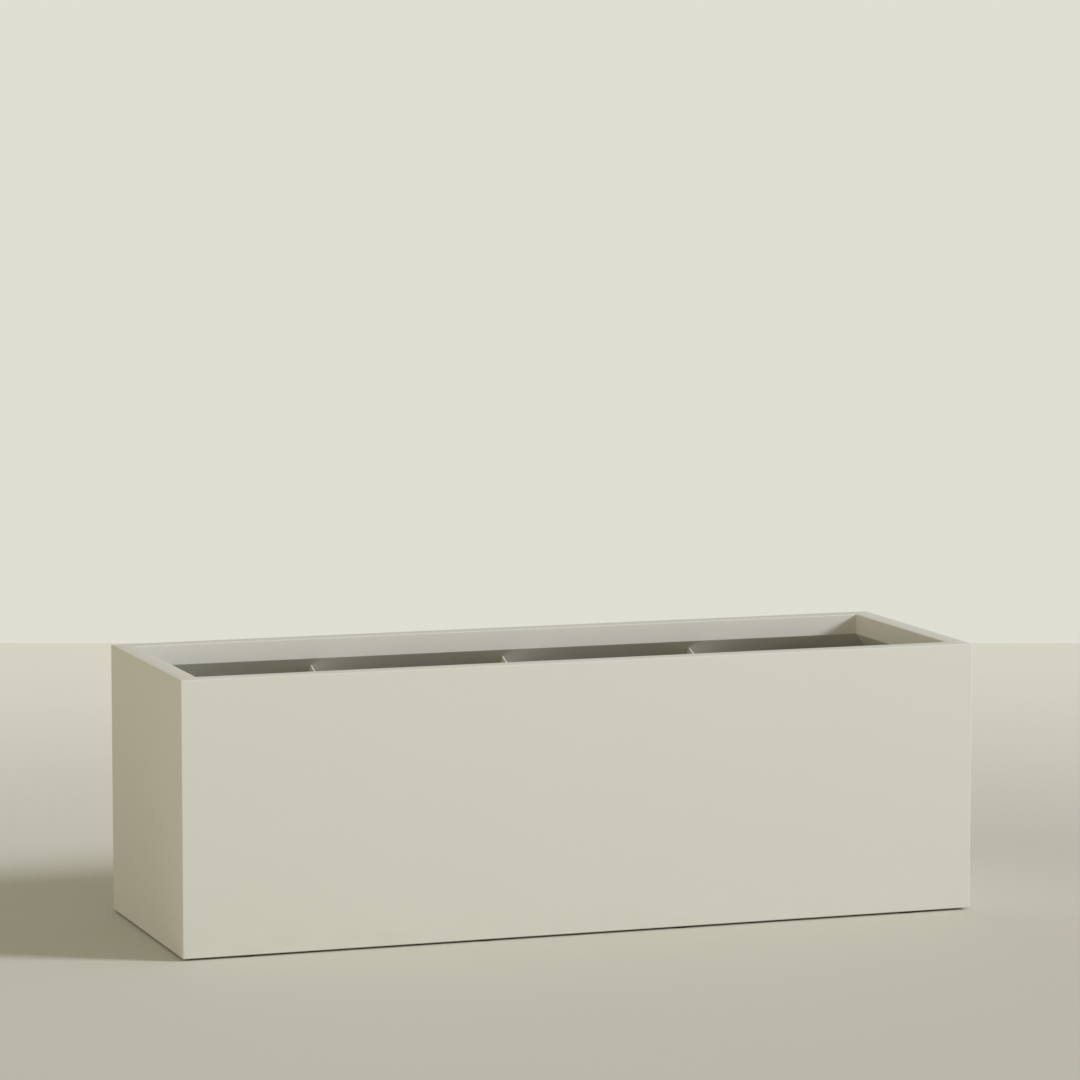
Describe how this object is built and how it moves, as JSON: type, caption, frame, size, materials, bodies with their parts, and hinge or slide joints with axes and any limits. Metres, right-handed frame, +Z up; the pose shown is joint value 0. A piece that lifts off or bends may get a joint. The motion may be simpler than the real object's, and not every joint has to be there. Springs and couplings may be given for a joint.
{
  "type": "self-watering trough planter",
  "caption": "Long rectangular trough planter in folded sheet metal with a flat rim, cross braces and a hidden water reservoir under lift-out separators.",
  "frame": {"origin": "middle of the footprint, on the ground the feet stand on", "axes": "+X along the trough to the right seen from the front, -Y the front, +Z up"},
  "size_m": [1.524, 0.508, 0.504],
  "materials": {
    "shell_coat": "matte fine-texture powder coat",
    "mill_sheet": "mill finish",
    "black_plastic": "matte moulded",
    "grey_pipe": "extruded satin",
    "steel": "bright",
    "rubber": "matte",
    "clear_plastic": "clear",
    "float_foam": "closed-cell foam",
    "signal_red": "gloss"
  },
  "bodies": {
    "shell": {"front_panel": "shell_coat", "back_panel": "shell_coat", "left_end_panel": "shell_coat", "right_end_panel": "shell_coat", "pan_base": "mill_sheet", "pan_front": "mill_sheet", "pan_back": "mill_sheet", "pan_left": "mill_sheet", "pan_right": "mill_sheet", "floor_channels": "mill_sheet", "ledge_front": "mill_sheet", "ledge_back": "mill_sheet", "ledge_left": "mill_sheet", "ledge_right": "mill_sheet", "support_left": "mill_sheet", "support_centre": "mill_sheet", "support_right": "mill_sheet", "cross_brace_left": "shell_coat", "cross_brace_centre": "shell_coat", "cross_brace_right": "shell_coat", "brace_studs": "steel", "brace_nuts": "steel", "overflow_fitting": "grey_pipe", "overflow_gasket": "rubber", "overflow_nut": "grey_pipe", "standpipe_seal": "rubber", "foot_pads": "rubber"},
    "separator_far_left": {"separator_far_left": "black_plastic", "strips_far_left": "black_plastic", "wick_basket_far_left": "black_plastic"},
    "separator_mid_left": {"separator_mid_left": "black_plastic", "strips_mid_left": "black_plastic", "wick_basket_mid_left": "black_plastic"},
    "separator_mid_right": {"separator_mid_right": "black_plastic", "strips_mid_right": "black_plastic", "wick_basket_mid_right": "black_plastic"},
    "separator_far_right": {"separator_far_right": "black_plastic", "strips_far_right": "black_plastic", "wick_basket_far_right": "black_plastic", "tube_guides": "black_plastic", "fill_tube": "grey_pipe", "fill_collar": "black_plastic", "flap_pin": "steel", "level_tube": "grey_pipe", "level_window": "clear_plastic"},
    "fill_flap": {"fill_flap": "black_plastic"},
    "level_float": {"level_float": "float_foam", "level_rod": "steel", "level_tip": "signal_red"},
    "standpipe": {"standpipe": "grey_pipe", "standpipe_strainer": "black_plastic"}
  },
  "joints": [
    {"name": "separator_far_left_lift", "type": "slide", "parent": "shell", "child": "separator_far_left", "axis": [0, 0, 1], "range_m": [0, 0.48]},
    {"name": "separator_mid_left_lift", "type": "slide", "parent": "shell", "child": "separator_mid_left", "axis": [0, 0, 1], "range_m": [0, 0.48]},
    {"name": "separator_mid_right_lift", "type": "slide", "parent": "shell", "child": "separator_mid_right", "axis": [0, 0, 1], "range_m": [0, 0.48]},
    {"name": "separator_far_right_lift", "type": "slide", "parent": "shell", "child": "separator_far_right", "axis": [0, 0, 1], "range_m": [0, 0.48]},
    {"name": "fill_flap_hinge", "type": "hinge", "parent": "separator_far_right", "child": "fill_flap", "pos_m": [0.65, -0.114, 0.4604], "axis": [-1, 0, 0], "range_deg": [0, 110]},
    {"name": "level_float_rise", "type": "slide", "parent": "separator_far_right", "child": "level_float", "axis": [0, 0, 1], "range_m": [0, 0.07]},
    {"name": "standpipe_pull", "type": "slide", "parent": "shell", "child": "standpipe", "axis": [0, 0, 1], "range_m": [0, 0.014]}
  ]
}
